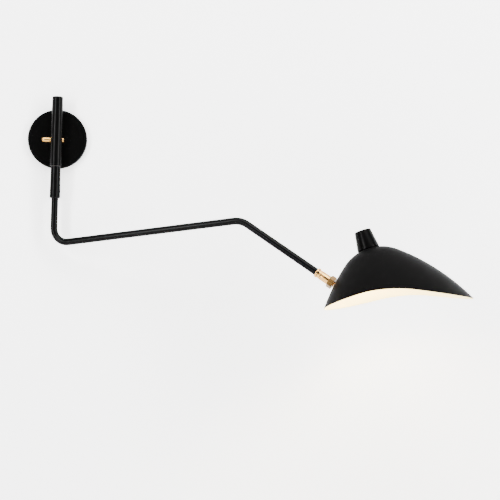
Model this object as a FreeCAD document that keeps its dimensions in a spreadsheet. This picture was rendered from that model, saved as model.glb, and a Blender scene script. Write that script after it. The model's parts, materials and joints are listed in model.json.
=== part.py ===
import FreeCAD, Part
import math
import os
import re
import sys
import Sketcher
from FreeCAD import Placement, Rotation, Vector

# Swing arm wall light. Millimetres and degrees.
# The origin is the middle of the wall bracket's back face, on the wall. +Z is up, -Y points away
# from the wall into the room and +X is to the right of somebody who faces the wall.
#
# Three working frames are used besides the row's own:
#   arm frame    X runs along the swung arm, Z is the post's axis, seen at the rest swing
#   joint frame  Z runs down the last stretch of tube, through the ball, from the tube's end corner
#   shade frame  Z is the axis that the shade was spun about, from the top of its dome

DRIVING_SIZES = [
    ("plate_radius", 60.0), ("plate_depth", 12.0), ("plate_wall", 1.2), ("plate_edge_round", 2.5),
    ("strap_reach", 57.4), ("strap_width", 16.0), ("strap_thick", 1.5), ("strap_ear", 8.0),
    ("box_hole_spacing", 88.9), ("box_slot_length", 12.0), ("box_slot_width", 4.8),
    ("post_offset", 26.0), ("post_radius", 11.8), ("post_bore", 9.6), ("post_bottom", -56.0),
    ("post_taper_start", 25.0), ("post_tip_radius", 10.7), ("post_top", 85.0), ("post_cap_height", 5.0),
    ("stem_height", 26.0), ("stem_radius", 4.0), ("stem_bore", 2.8),
    ("stem_start", 5.9), ("stem_end", 16.3),
    ("switch_height", -3.0), ("switch_radius", 6.0), ("knob_radius", 4.9), ("knob_length", 16.0),
    ("spindle_radius", 6.0), ("spindle_bore", 3.2), ("spindle_top", -15.0), ("spindle_bottom", -84.0),
    ("bearing_gap", 0.04), ("stop_level", -24.0), ("stop_pin_radius", 1.5),
    ("sleeve_top", -57.0), ("sleeve_bottom", -121.5), ("sleeve_top_radius", 9.95),
    ("sleeve_base_radius", 10.85), ("tube_radius", 7.0), ("tube_bore", 6.0), ("tube_start", -88.0),
    ("swing_rest", 20.8), ("elbow_height", -213.4), ("elbow_bend", 28.0),
    ("crest_reach", 398.0), ("crest_height", -160.0), ("crest_bend", 42.0),
    ("end_reach", 553.05), ("end_height", -257.21), ("tube_seat", 5.5), ("cable_radius", 1.8),
    ("collar_radius", 9.75), ("barrel_radius", 8.75), ("barrel_bore", 7.3), ("barrel_start", 9.6),
    ("ball_station", 31.8), ("ball_radius", 7.0), ("seat_gap", 0.05), ("neck_radius", 4.0),
    ("hex_start", 26.0), ("hex_end", 36.5), ("hex_flats", 21.5),
    ("apex_reach", 647.0), ("apex_height", -208.6), ("shade_lean", 20.5), ("shade_roll", -4.6),
    ("shade_wall", 1.2), ("crown_radius", 82.1), ("crown_angle", 39.9), ("flank_radius", 390.2),
    ("flank_depth", 158.0), ("rim_bend_start", -31.9), ("rim_start_depth", 86.6), ("rim_back_slope", 2.3),
    ("rim_bend", 274.6), ("rim_slant", 25.2), ("shade_hole", 17.7),
    ("cap_height", 35.2), ("cap_top_radius", 15.25), ("cap_lip_radius", 21.0), ("cap_wall", 1.3),
    ("holder_radius", 12.0), ("screw_cap_radius", 6.7), ("globe_radius", 22.5),
]

doc = FreeCAD.newDocument("SwingArmWallLight")
sheet = doc.addObject("Spreadsheet::Sheet", "Sizes")
for row, (alias, number) in enumerate(DRIVING_SIZES, start=1):
    sheet.set("A%d" % row, alias)
    sheet.set("B%d" % row, str(number))
    sheet.setAlias("B%d" % row, alias)
doc.recompute()

ALIASES = {alias for alias, number in DRIVING_SIZES}
LONG = "60"         # how far a drilled hole runs, past whatever it goes through
nodes = []


def formula(text):
    """A formula in sheet words, written the way setExpression reads it."""
    words = lambda found: "Sizes." + found.group() if found.group() in ALIASES else found.group()
    return re.sub(r"[a-z_]+", words, str(text))


def size(text):
    """The number that a formula in sheet words comes to now."""
    return float(sheet.evalExpression(formula(text)))


def keep(thing, label):
    """Marks an object as one finished sub-part, which is written to its own file."""
    thing.Label = label
    nodes.append(thing)
    return thing


# ---------------------------------------------------------------- frames

def turned_about(axis, degrees, point=Vector(0, 0, 0)):
    turn = Rotation(axis, degrees)
    return Placement(point - turn.multVec(point), turn)


X_AXIS, Y_AXIS, Z_AXIS = Vector(1, 0, 0), Vector(0, 1, 0), Vector(0, 0, 1)
HERE = Placement()
WALL = Placement(Vector(0, 0, 0), Rotation(X_AXIS, 90))
POST = Placement(Vector(0, -size("post_offset"), 0), Rotation())
ARM = POST * turned_about(Z_AXIS, -size("swing_rest"))

FALL = math.degrees(math.atan2(size("crest_height - end_height"), size("end_reach - crest_reach")))
TUBE_END = Vector(size("end_reach"), 0, size("end_height"))
JOINT_AXIS = Vector(math.cos(math.radians(FALL)), 0, -math.sin(math.radians(FALL)))
JOINT_IN_ARM = Placement(TUBE_END, Rotation(Y_AXIS, 90 + FALL))
JOINT = ARM * JOINT_IN_ARM

# The shade is rolled about the neck, so that its mouth is turned a little towards the room.
ROLL_IN_ARM = turned_about(JOINT_AXIS, size("shade_roll"), TUBE_END)
ROLLED_ARM = ARM * ROLL_IN_ARM
APEX = Vector(size("apex_reach"), 0, size("apex_height"))
SHADE_IN_ARM = Placement(APEX, Rotation(Y_AXIS, -size("shade_lean")))
SHADE = ROLLED_ARM * SHADE_IN_ARM
NECK = ROLLED_ARM * JOINT_IN_ARM


# ---------------------------------------------------------------- sketches and solids

def origin_plane(body, role):
    return [part for part in body.Origin.OriginFeatures if part.Role == role][0]


def new_sketch(body, name, plane="XZ_Plane", lift="0"):
    sketch = body.newObject("Sketcher::SketchObject", name)
    sketch.AttachmentSupport = [(origin_plane(body, plane), "")]
    sketch.MapMode = "FlatFace"
    sketch.AttachmentOffset = Placement(Vector(0, 0, size(lift)), Rotation())
    sketch.setExpression("AttachmentOffset.Base.z", formula(lift))
    return sketch


def bind(sketch, kind, where, text):
    """Adds one dimension and binds it to a formula in sheet words."""
    number = sketch.addConstraint(Sketcher.Constraint(kind, *where, size(text)))
    sketch.setExpression("Constraints[%d]" % number, formula(text))


def pin(sketch, edge, end, corner):
    """Fixes one end of an edge at a corner given as two formulas."""
    if str(corner[0]) == "0":
        sketch.addConstraint(Sketcher.Constraint("PointOnObject", edge, end, -2))
    else:
        bind(sketch, "DistanceX", (edge, end), corner[0])
    bind(sketch, "DistanceY", (edge, end), corner[1])


def arc_between(start, end, radius):
    """The short arc of a signed radius; a positive one has its centre on the left of the run."""
    run = end - start
    left = Vector(-run.y, run.x, 0).normalize()
    rise = math.sqrt(max(radius ** 2 - run.Length ** 2 / 4, 0))
    centre = (start + end) / 2 + left * math.copysign(rise, radius)
    first, last = (start, end) if radius > 0 else (end, start)
    angle = lambda point: math.atan2(point.y - centre.y, point.x - centre.x)
    return Part.ArcOfCircle(Part.Circle(centre, Z_AXIS, abs(radius)), angle(first), angle(last))


def closed_outline(sketch, corners):
    """A closed outline. A corner's third value is the signed radius of the arc that leaves it."""
    points = [Vector(size(corner[0]), size(corner[1]), 0) for corner in corners]
    ends = []
    for number, corner in enumerate(corners):
        start, end = points[number], points[(number + 1) % len(points)]
        if len(corner) == 3:
            radius = size(corner[2])
            sketch.addGeometry(arc_between(start, end, radius), False)
            ends.append((1, 2) if radius > 0 else (2, 1))
        else:
            sketch.addGeometry(Part.LineSegment(start, end), False)
            ends.append((1, 2))
    for number, (first, last) in enumerate(ends):
        after = (number + 1) % len(ends)
        sketch.addConstraint(Sketcher.Constraint("Coincident", number, last, after, ends[after][0]))
    for number, corner in enumerate(corners):
        pin(sketch, number, ends[number][0], corner)
        if len(corner) == 3:
            bind(sketch, "Radius", (number,), "abs(%s)" % corner[2])


def circle(sketch, x, y, radius):
    number = sketch.addGeometry(Part.Circle(Vector(size(x), size(y), 0), Z_AXIS, size(radius)), False)
    pin(sketch, number, 3, (x, y))
    bind(sketch, "Radius", (number,), radius)


def new_body(name):
    return doc.addObject("PartDesign::Body", name)


def turned(name, corners, frame=HERE):
    """A piece turned on a lathe: the outline, as radius and height, goes round the frame's Z."""
    body = new_body(name)
    sketch = new_sketch(body, name + "Outline")
    closed_outline(sketch, corners)
    turn = body.newObject("PartDesign::Revolution", name + "Turn")
    turn.Profile = sketch
    turn.ReferenceAxis = (sketch, ["V_Axis"])
    turn.Angle = 360
    body.Placement = frame
    return body


def ring(name, inner, outer, low, high, frame=HERE):
    return turned(name, [(inner, low), (outer, low), (outer, high), (inner, high)], frame)


def tube_along(name, corners, bends, outer, inner=None, frame=HERE):
    """A round tube or cable along straight runs joined by tangent arcs, in the frame's XZ plane.

    The first run is upright, so the section lies flat at the path's first corner."""
    body = new_body(name)
    path = new_sketch(body, name + "Path")
    points = [Vector(size(corner[0]), size(corner[1]), 0) for corner in corners]
    runs = len(points) - 1
    for number in range(runs):
        path.addGeometry(Part.LineSegment(points[number], points[number + 1]), True)
        pin(path, number, 1, corners[number])
    pin(path, runs - 1, 2, corners[-1])
    for number in range(runs - 1):
        path.addConstraint(Sketcher.Constraint("Coincident", number, 2, number + 1, 1))
    cuts = [points[0]]
    arcs = []
    for number, bend in enumerate(bends, start=1):
        before = (points[number] - points[number - 1]).normalize()
        after = (points[number + 1] - points[number]).normalize()
        turn = before.x * after.y - before.y * after.x
        reach = size(bend) * math.tan(math.acos(before.dot(after)) / 2)
        cuts += [points[number] - before * reach, points[number] + after * reach]
        arcs.append(math.copysign(size(bend), turn))
    cuts.append(points[-1])
    lines = [path.addGeometry(Part.LineSegment(cuts[2 * number], cuts[2 * number + 1]), False)
             for number in range(runs)]
    for number, radius in enumerate(arcs):
        arc = path.addGeometry(arc_between(cuts[2 * number + 1], cuts[2 * number + 2], radius), False)
        first, last = (1, 2) if radius > 0 else (2, 1)
        path.addConstraint(Sketcher.Constraint("Tangent", lines[number], 2, arc, first))
        path.addConstraint(Sketcher.Constraint("Tangent", arc, last, lines[number + 1], 1))
        path.addConstraint(Sketcher.Constraint("PointOnObject", lines[number], 2, number))
        path.addConstraint(Sketcher.Constraint("PointOnObject", lines[number + 1], 1, number + 1))
        bind(path, "Radius", (arc,), bends[number])
    path.addConstraint(Sketcher.Constraint("Coincident", lines[0], 1, 0, 1))
    path.addConstraint(Sketcher.Constraint("Coincident", lines[-1], 2, runs - 1, 2))
    section = new_sketch(body, name + "Section", "XY_Plane", corners[0][1])
    circle(section, corners[0][0], "0", outer)
    if inner:
        circle(section, corners[0][0], "0", inner)
    pipe = body.newObject("PartDesign::AdditivePipe", name + "Pipe")
    pipe.Profile = section
    pipe.Spine = path
    body.Placement = frame
    return body


def rod(name, radius, length, place):
    solid = doc.addObject("Part::Cylinder", name)
    solid.setExpression("Radius", formula(radius))
    solid.setExpression("Height", formula(length))
    solid.Placement = place
    return solid


def block(name, length, width, height, place):
    solid = doc.addObject("Part::Box", name)
    for side, text in (("Length", length), ("Width", width), ("Height", height)):
        solid.setExpression(side, formula(text))
    solid.Placement = place
    return solid


def without(name, base, tools, frame=HERE):
    """The base with every tool cut away from it."""
    tool = tools[0]
    if len(tools) > 1:
        tool = doc.addObject("Part::MultiFuse", name + "Tools")
        tool.Shapes = tools
    cut = doc.addObject("Part::Cut", name)
    cut.Base = base
    cut.Tool = tool
    cut.Placement = frame
    return cut


def shared(name, first, second, frame=HERE):
    """What two solids have in common."""
    common = doc.addObject("Part::MultiCommon", name)
    common.Shapes = [first, second]
    common.Placement = frame
    return common


def group(name, pieces, frame=HERE):
    """Several separate solids of one kind, kept as one node."""
    compound = doc.addObject("Part::Compound", name)
    compound.Links = pieces
    compound.Placement = frame
    return compound


def at(x, y, z, axis=Z_AXIS):
    """A place at a point given as three formulas, with Z turned to point along an axis."""
    return Placement(Vector(size(x), size(y), size(z)), Rotation(Z_AXIS, axis))


def hexagon(name, flats, length, place):
    """A hexagonal prism of a given size across its flats."""
    prism = doc.addObject("Part::Prism", name)
    prism.Polygon = 6
    prism.setExpression("Circumradius", formula("(%s) / sqrt(3)" % flats))
    prism.setExpression("Height", formula(length))
    prism.Placement = place
    return prism


def grub(name, radius, length, place):
    """A headless screw with a socket in its outer end."""
    shank = rod(name + "Shank", radius, length, place)
    depth = "(%s) * 0.4" % length
    socket = hexagon(name + "Socket", "(%s) * 1.0" % radius, depth,
                     place * at("0", "0", "(%s) * 0.6" % length))
    return without(name, shank, [socket])


def pan_screw(name, radius, length, head_radius, head, place):
    """A screw with a low round head above its frame's origin and a cross slot in the head."""
    corners = [("0", "-(%s)" % length), (radius, "-(%s)" % length), (radius, "0"), (head_radius, "0"),
               (head_radius, "(%s) * 0.6" % head), ("(%s) * 0.8" % head_radius, head), ("0", head)]
    screw = turned(name + "Blank", corners)
    slot = block(name + "Slot", "(%s) * 2.2" % head_radius, "0.9", head,
                 at("-(%s) * 1.1" % head_radius, "-0.45", "(%s) * 0.5" % head))
    return without(name, screw, [slot], place)


# ---------------------------------------------------------------- wall bracket

def make_wall_plate():
    """A spun cup that covers the wall box: flat front, soft edge, open towards the wall."""
    body = new_body("WallPlateCup")
    sketch = new_sketch(body, "WallPlateOutline")
    closed_outline(sketch, [
        ("plate_radius - plate_wall", "0"), ("plate_radius", "0"), ("plate_radius", "plate_depth"),
        ("0", "plate_depth"), ("0", "plate_depth - plate_wall"),
        ("plate_radius - plate_wall", "plate_depth - plate_wall")])
    turn = body.newObject("PartDesign::Revolution", "WallPlateTurn")
    turn.Profile = sketch
    turn.ReferenceAxis = (sketch, ["V_Axis"])
    doc.recompute()
    edges = ["Edge%d" % (number + 1) for number, edge in enumerate(turn.Shape.Edges)
             if edge.Closed and abs(edge.BoundBox.ZMin - size("plate_depth")) < 1e-6]
    edge_round = body.newObject("PartDesign::Fillet", "WallPlateEdge")
    edge_round.Base = (turn, edges)
    edge_round.setExpression("Radius", formula("plate_edge_round"))
    holes = [rod("PlateStemHole%d" % number, "stem_radius + 0.2", "plate_depth",
                 at("0", "%d * stem_height" % side, "plate_depth / 2"))
             for number, side in enumerate((1, -1))]
    side_hole = rod("PlateSideHoles", "2.2", "2 * plate_radius + 10", at("-plate_radius - 5", "0", "5",
        X_AXIS))
    return keep(without("WallPlate", body, holes + [side_hole], WALL), "wall_plate")


def make_mounting_strap():
    """A flat bar across the wall box, with an ear bent forward at each end."""
    body = new_body("StrapBar")
    sketch = new_sketch(body, "StrapSide")
    inner = "strap_reach - strap_thick"
    closed_outline(sketch, [
        ("-strap_reach", "0"), ("strap_reach", "0"), ("strap_reach", "strap_ear"),
        (inner, "strap_ear"), (inner, "strap_thick"), ("-(%s)" % inner, "strap_thick"),
        ("-(%s)" % inner, "strap_ear"), ("-strap_reach", "strap_ear")])
    pad = body.newObject("PartDesign::Pad", "StrapPad")
    pad.Profile = sketch
    pad.Midplane = True
    pad.setExpression("Length", formula("strap_width"))
    tools = []
    for number, side in enumerate((-1, 1)):
        middle = "%d * box_hole_spacing / 2" % side
        half = "(box_slot_length - box_slot_width) / 2"
        for end, way in enumerate((-1, 1)):
            tools.append(rod("BoxSlotEnd%d%d" % (number, end), "box_slot_width / 2", "4",
                             at("%s + %d * %s" % (middle, way, half), "0", "-1")))
        tools.append(block("BoxSlot%d" % number, "box_slot_length - box_slot_width", "box_slot_width", "4",
                           at("%s - %s" % (middle, half), "-box_slot_width / 2", "-1")))
    tools.append(rod("EarThreads", "2.05", "2 * strap_reach + 10", at("-strap_reach - 5", "0", "5", X_AXIS)))
    tools.append(rod("GroundThread", "2.05", "4", at("24", "0", "-1")))
    return keep(without("MountingStrap", body, tools, WALL), "mounting_strap")


def make_bracket_screws():
    """Headless screws hold the plate to the strap's ears, and one screw takes the earth wire."""
    ear_screws = []
    for number, (side, axis) in enumerate(((1, X_AXIS), (-1, -X_AXIS))):
        place = at("%d * (plate_radius - 0.3 - 6)" % side, "0", "5", axis)
        ear_screws.append(grub("EarScrew%d" % number, "2.0", "6", place))
    keep(group("PlateScrews", ear_screws, WALL), "plate_side_screws")
    keep(pan_screw("EarthScrew", "2.0", "strap_thick", "3.8", "2.6", WALL * at("24", "0", "strap_thick")),
         "earth_screw")


def make_terminal_block():
    """A two-way terminal block on the strap, with a clamp screw at each end of each way."""
    half_length, half_width, top = "11", "6", "strap_thick + 8"
    base = block("TerminalBase", "2 * %s" % half_length, "2 * %s" % half_width, "8",
                 at("-%s" % half_length, "-%s" % half_width, "strap_thick"))
    tools, screws = [], []
    for number, x in enumerate(("-5.5", "5.5")):
        for end, y in enumerate(("-3", "3")):
            tag = "%d%d" % (number, end)
            tools.append(rod("TerminalWell" + tag, "2.05", "7", at(x, y, "strap_thick + 3")))
            screws.append(grub("TerminalScrew" + tag, "2.0", "4", at(x, y, "strap_thick + 3")))
        tools.append(rod("WireWell%d" % number, "1.1", "14", at(x, "7", "strap_thick + 1.6", -Y_AXIS)))
    keep(without("TerminalBlock", base, tools, WALL), "terminal_block")
    keep(group("TerminalScrews", screws, WALL), "terminal_screws")
    assert size(top) < size("plate_depth - plate_wall")


# ---------------------------------------------------------------- post

def make_post():
    """The upright tube. It narrows a little towards its top, where a plug closes it."""
    tube_top = "post_top - post_cap_height"
    tube = turned("PostTubeBlank", [
        ("post_bore", "post_bottom"), ("post_radius", "post_bottom"), ("post_radius", "post_taper_start"),
        ("post_tip_radius", tube_top), ("post_tip_radius - 1.6", tube_top),
        ("post_tip_radius - 1.6", "post_taper_start + 20"), ("post_bore", "post_taper_start")])
    holes = [rod("PostStemHole%d" % number, "stem_radius + 0.02", "post_offset",
                 at("0", "0", "%d * stem_height" % side, Y_AXIS)) for number, side in enumerate((1, -1))]
    holes.append(rod("SwitchHoleLeft", "3.5", LONG, at("0", "0", "switch_height", -X_AXIS)))
    holes.append(rod("SwitchHoleRight", "2.6", LONG, at("0", "0", "switch_height", X_AXIS)))
    keep(without("PostTube", tube, holes, POST), "post_tube")
    plug = "post_tip_radius - 1.65"
    keep(turned("PostCap", [
        ("0", "%s - 8" % tube_top), (plug, "%s - 8" % tube_top), (plug, tube_top),
        ("post_tip_radius", tube_top), ("post_tip_radius", "post_top - 2.2", "2.2"),
        ("post_tip_radius - 2.2", "post_top"), ("0", "post_top")], POST), "post_cap")


def make_post_fixings():
    """Two hollow studs brazed into the post go through shaped spacers and the plate to nuts."""
    studs, spacers, washers, nuts = [], [], [], []
    for number, side in enumerate((1, -1)):
        level = "%d * stem_height" % side
        stud = rod("Stud%d" % number, "stem_radius", "stem_end - stem_start",
                   at("0", level, "stem_start"))
        bore = rod("StudBore%d" % number, "stem_bore", LONG, at("0", level, "0"))
        studs.append(without("HollowStud%d" % number, stud, [bore]))
        spacer = rod("Spacer%d" % number, "7.5", "5", at("0", level, "plate_depth"))
        hollow = rod("SpacerBore%d" % number, "stem_radius + 0.1", LONG, at("0", level, "0"))
        saddle = rod("SpacerSaddle%d" % number, "post_radius + 0.05", "40",
                     at("0", "%s - 20" % level, "post_offset", Y_AXIS))
        spacers.append(without("ShapedSpacer%d" % number, spacer, [hollow, saddle]))
        back = "plate_depth - plate_wall"
        washers.append(ring("StudWasher%d" % number, "stem_radius + 0.1", "8", "%s - 1" % back, back,
                            at("0", level, "0")))
        nut = hexagon("StudNutBlank%d" % number, "13", "3.4", at("0", level, "%s - 4.4" % back))
        hole = rod("StudNutBore%d" % number, "stem_radius + 0.02", LONG, at("0", level, "0"))
        nuts.append(without("StudNut%d" % number, nut, [hole]))
    keep(group("PostStuds", studs, WALL), "post_studs")
    keep(group("PostSpacers", spacers, WALL), "post_spacers")
    keep(group("StudWashers", washers, WALL), "stud_washers")
    keep(group("StudNuts", nuts, WALL), "stud_nuts")


def make_feed_cable():
    """The cable from the terminal block, through the upper stud and down inside the post."""
    frame = Placement(Vector(0, 0, 0), Rotation(Z_AXIS, -90))
    keep(tube_along("FeedCable", [
        ("3.6", "6.2"), ("3.6", "stem_height"), ("post_offset", "stem_height"),
        ("post_offset", "switch_height + switch_radius + 0.1")],
        ["4", "6"], "cable_radius", None, frame), "feed_cable")


def make_switch():
    """A turn switch across the post: its body inside, the knob on the left, a cap nut on the right."""
    across = POST * at("0", "0", "switch_height", X_AXIS)
    half = "7"
    keep(turned("SwitchBody", [
        ("0", "-4"), ("2.1", "-4"), ("2.1", "-%s" % half), ("switch_radius", "-%s" % half),
        ("switch_radius", half), ("0", half)], across), "switch_body")
    keep(turned("SwitchBush", [
        ("2.1", "-7"), ("2.1", "-13.4"), ("4.2", "-13.4"), ("4.2", "-11.9"), ("3.45", "-11.9"),
        ("3.45", "-7")], across), "switch_bush")
    keep(turned("SwitchCapNut", [
        ("0", "7.1"), ("2.5", "7.1"), ("2.5", "11.9"), ("knob_radius", "11.9"),
        ("knob_radius", "13.6", "1.2"), ("knob_radius - 1.2", "14.8"), ("0", "14.8")], across),
        "switch_cap_nut")
    inner, outer = "-13.6", "-13.6 - knob_length"
    keep(turned("SwitchKnob", [
        ("1.55", inner), ("knob_radius - 0.6", inner), ("knob_radius", "%s - 0.6" % inner),
        ("knob_radius", "%s + 2.4" % outer, "-2.4"), ("knob_radius - 2.4", outer),
        ("0", outer), ("0", "%s - 12" % inner), ("1.55", "%s - 12" % inner)], across), "switch_knob")
    keep(turned("SwitchShaft", [
        ("0", "-4.2"), ("0", "%s - 11.8" % inner), ("1.5", "%s - 11.8" % inner), ("1.5", "-13.4"),
        ("2.0", "-13.4"), ("2.0", "-4.2")], across), "switch_shaft")


def make_swing_bearing():
    """Two bushes in the post carry the spindle; the upper one is half cut away as the swing stop."""
    bore = "spindle_radius + bearing_gap"
    bush = "post_bore - 0.05"
    keep(ring("LowerBush", bore, bush, "post_bottom", "post_bottom + 12", POST), "lower_bush")
    crowned = ring("UpperBushBlank", bore, bush, "stop_level - 10", "stop_level + 2")
    notch = block("StopNotch", "2 * post_bore", "post_bore + 0.5", "4.1",
                  at("-post_bore", "-post_bore", "stop_level - 2"))
    keep(without("UpperBush", crowned, [notch], POST), "upper_bush")
    shaft = ring("SpindleBlank", "spindle_bore", "spindle_radius", "spindle_bottom", "spindle_top")
    pin_hole = rod("StopPinHole", "stop_pin_radius", LONG, at("0", "0", "stop_level", X_AXIS))
    keep(without("PivotSpindle", shaft, [pin_hole], ARM), "pivot_spindle")
    keep(rod("StopPin", "stop_pin_radius", "8.8 - 3.4", ARM * at("3.4", "0", "stop_level", X_AXIS)),
        "stop_pin")
    collar = ring("SpindleCollarBlank", "spindle_radius + 0.01", "9.2", "stop_level + 2", "spindle_top")
    thread = rod("CollarThread", "1.5", LONG, at("0", "0", "-18.5", Y_AXIS))
    keep(without("SpindleCollar", collar, [thread], ARM), "spindle_collar")
    keep(grub("CollarScrew", "1.45", "2.8", ARM * at("0", "6.1", "-18.5", Y_AXIS)), "collar_screw")
    keep(ring("ThrustWasher", "spindle_radius + 0.1", "9.3", "sleeve_top", "post_bottom - 0.02", ARM),
         "thrust_washer")


# ---------------------------------------------------------------- arm

def make_sleeve():
    """The turned sleeve under the post. It holds the spindle above and the arm tube below."""
    blank = turned("SleeveBlank", [
        ("spindle_radius + 0.02", "sleeve_top"), ("sleeve_top_radius - 0.4", "sleeve_top"),
        ("sleeve_top_radius", "sleeve_top - 0.4"), ("sleeve_base_radius", "sleeve_bottom + 1.8"),
        ("sleeve_base_radius - 1.6", "sleeve_bottom"), ("tube_radius + 0.05", "sleeve_bottom"),
        ("tube_radius + 0.05", "tube_start"), ("spindle_bore", "tube_start"),
        ("spindle_bore", "spindle_bottom"), ("spindle_radius + 0.02", "spindle_bottom")])
    threads, screws = [], []
    for number, (level, depth) in enumerate((("-70", "spindle_radius + 0.1"), ("-108", "tube_radius + 0.1"))):
        threads.append(rod("SleeveThread%d" % number, "1.55", LONG, at("0", "0", level, Y_AXIS)))
        screws.append(grub("SleeveScrew%d" % number, "1.5", "sleeve_top_radius - 0.3 - (%s)" % depth,
                           at("0", depth, level, Y_AXIS)))
    keep(without("Sleeve", blank, threads, ARM), "sleeve")
    keep(group("SleeveScrews", screws, ARM), "sleeve_screws")


def make_arm_tube():
    """One tube: down out of the sleeve, out along the arm and down to the swivel; its cable inside."""
    past_end = lambda way, reach: "%s_%s + %r * (%s)" % ("end", way[0], way[1], reach)
    along = (("reach", JOINT_AXIS.x), ("height", JOINT_AXIS.z))
    finish = lambda reach: tuple(past_end(way, reach) for way in along)
    elbow, crest = ("0", "elbow_height"), ("crest_reach", "crest_height")
    bends = ["elbow_bend", "crest_bend"]
    keep(tube_along("ArmTube", [("0", "tube_start"), elbow, crest, finish("tube_seat")], bends,
                    "tube_radius", "tube_bore", ARM), "arm_tube")
    keep(tube_along("ArmCable", [("0", "spindle_top + 3"), elbow, crest, finish("17")], bends,
                    "cable_radius", None, ARM), "arm_cable")


def make_collar():
    """The flared brass collar on the tube's end, with the spigot that the barrel turns on."""
    keep(turned("BrassCollar", [
        ("tube_radius + 0.05", "-2.5"), ("collar_radius - 0.5", "-2.5"), ("collar_radius", "-2.0"),
        ("collar_radius", "0.6"), ("collar_radius - 0.6", "1.2"), ("barrel_radius - 0.5", "3.4", "-7"),
        ("barrel_radius - 0.5", "6.6"), ("barrel_radius", "8.4"), ("barrel_radius", "9.5"),
        ("5.5", "9.5"), ("5.5", "17"), ("3.0", "17"), ("3.0", "tube_seat"),
        ("tube_radius + 0.05", "tube_seat")], JOINT), "brass_collar")
    keep(ring("SpigotNut", "5.52", "6.9", "barrel_start + 3.54", "barrel_start + 6", JOINT), "spigot_nut")


# ---------------------------------------------------------------- swivel

def on_ball(reach, radius="ball_radius + seat_gap"):
    """The radius of the ball's seat at a distance from the ball's middle."""
    return "sqrt((%s)^2 - (%s)^2)" % (radius, reach)


def make_swivel_housing():
    """The barrel, and inside it a spring that presses a cup against the ball."""
    keep(turned("JointBarrel", [
        ("5.56", "barrel_start"), ("barrel_radius - 0.5", "barrel_start"),
        ("barrel_radius", "barrel_start + 0.5"), ("barrel_radius", "hex_start - 0.1"),
        ("barrel_radius - 0.4", "hex_start - 0.1"), ("barrel_radius - 0.4", "31"), ("barrel_bore", "31"),
        ("barrel_bore", "barrel_start + 3.5"), ("5.56", "barrel_start + 3.5")], JOINT), "joint_barrel")
    low, step, thick = 17.2, 1.15, 0.5
    leaves = []
    for number in range(3):
        flip = number % 2
        base = low + number * step
        inner, outer = (base + step * flip, base + step * (1 - flip))
        leaves.append(turned("SpringLeaf%d" % number, [
            ("4.2", str(inner)), ("6.8", str(outer)), ("6.8", str(outer + thick)),
            ("4.2", str(inner + thick))]))
    keep(group("FrictionSpring", leaves, JOINT), "friction_spring")
    seat_start = "%s" % (low + 3 * step + thick)
    front = "ball_station - 4.2"
    keep(turned("BallSeat", [
        ("3.0", seat_start), ("barrel_bore - 0.05", seat_start), ("barrel_bore - 0.05", front),
        (on_ball("4.2"), front, "-(ball_radius + seat_gap)"),
        ("3.0", "ball_station - %s" % on_ball("3.0"))], JOINT), "ball_seat")


def make_hex_nut():
    """The hexagonal retaining nut, chamfered at both ends and hollowed to hold the ball."""
    length = "hex_end - hex_start"
    prism = hexagon("HexBar", "hex_flats", length, at("0", "0", "hex_start"))
    corner = "hex_flats / sqrt(3)"
    face = "hex_flats / 2 - 0.3"
    lathe = turned("HexTurned", [
        ("barrel_radius - 0.35", "hex_start"), (face, "hex_start"),
        ("(%s) + 0.1" % corner, "hex_start + 1.1"), ("(%s) + 0.1" % corner, "hex_end - 1.1"),
        (face, "hex_end"), ("ball_radius", "hex_end"),
        (on_ball("3.6"), "ball_station + 3.6", "-(ball_radius + seat_gap)"),
        (on_ball("0.6"), "ball_station + 0.6"), (on_ball("0.6"), "31.2"),
        ("barrel_radius - 0.35", "31.2")])
    keep(shared("HexNut", prism, lathe, JOINT), "hex_nut")


def make_swivel_ball():
    """The ball with its neck, flange and threaded shank, bored for the cable."""
    reach = lambda distance: "ball_station + %s" % distance
    bore = "2.4"
    keep(turned("SwivelBall", [
        (bore, "ball_station - %s" % on_ball(bore, "ball_radius"), "ball_radius"),
        ("ball_radius", "ball_station", "ball_radius"),
        ("neck_radius", "ball_station + %s" % on_ball("neck_radius", "ball_radius")),
        ("neck_radius", reach("6.4")), ("5.6", reach("6.4")), ("6.0", reach("6.8")),
        ("6.0", reach("7.4")), ("neck_radius", reach("7.4")), ("neck_radius", reach("20")),
        (bore, reach("20"))], NECK), "swivel_ball")
    keep(rod("NeckCable", "cable_radius", "25.5", NECK * at("0", "0", "ball_station - 5")), "neck_cable")
    nut = hexagon("NeckNutBar", "13", "4", at("0", "0", reach("14")))
    hole = rod("NeckNutBore", "neck_radius + 0.02", LONG, at("0", "0", "0"))
    keep(without("NeckNut", nut, [hole], NECK), "neck_lock_nut")


# ---------------------------------------------------------------- shade

def dome_outline(gap):
    """The dome's section, as radius and height, for a surface a given distance inside it."""
    crown = "crown_radius - (%s)" % gap
    flank = "flank_radius - (%s)" % gap
    knee_radius = "(%s) * sin(crown_angle)" % crown
    knee_height = "(%s) * cos(crown_angle) - crown_radius" % crown
    middle_radius = "(crown_radius - flank_radius) * sin(crown_angle)"
    middle_height = "(crown_radius - flank_radius) * cos(crown_angle) - crown_radius"
    edge_radius = "%s + sqrt((%s)^2 - (flank_depth + %s)^2)" % (middle_radius, flank, middle_height)
    at_radius = lambda radius: "sqrt((%s)^2 - (%s)^2) - crown_radius" % (crown, radius)
    return crown, flank, (knee_radius, knee_height), (edge_radius, "-flank_depth"), at_radius


def dome_solid(name, gap):
    """The dome filled in, as a tool for shaping what touches it."""
    crown, flank, knee, edge, at_radius = dome_outline(gap)
    return turned(name, [
        ("0", "-flank_depth"), edge + (flank,), knee + (crown,), ("0", at_radius("0"))])


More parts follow.
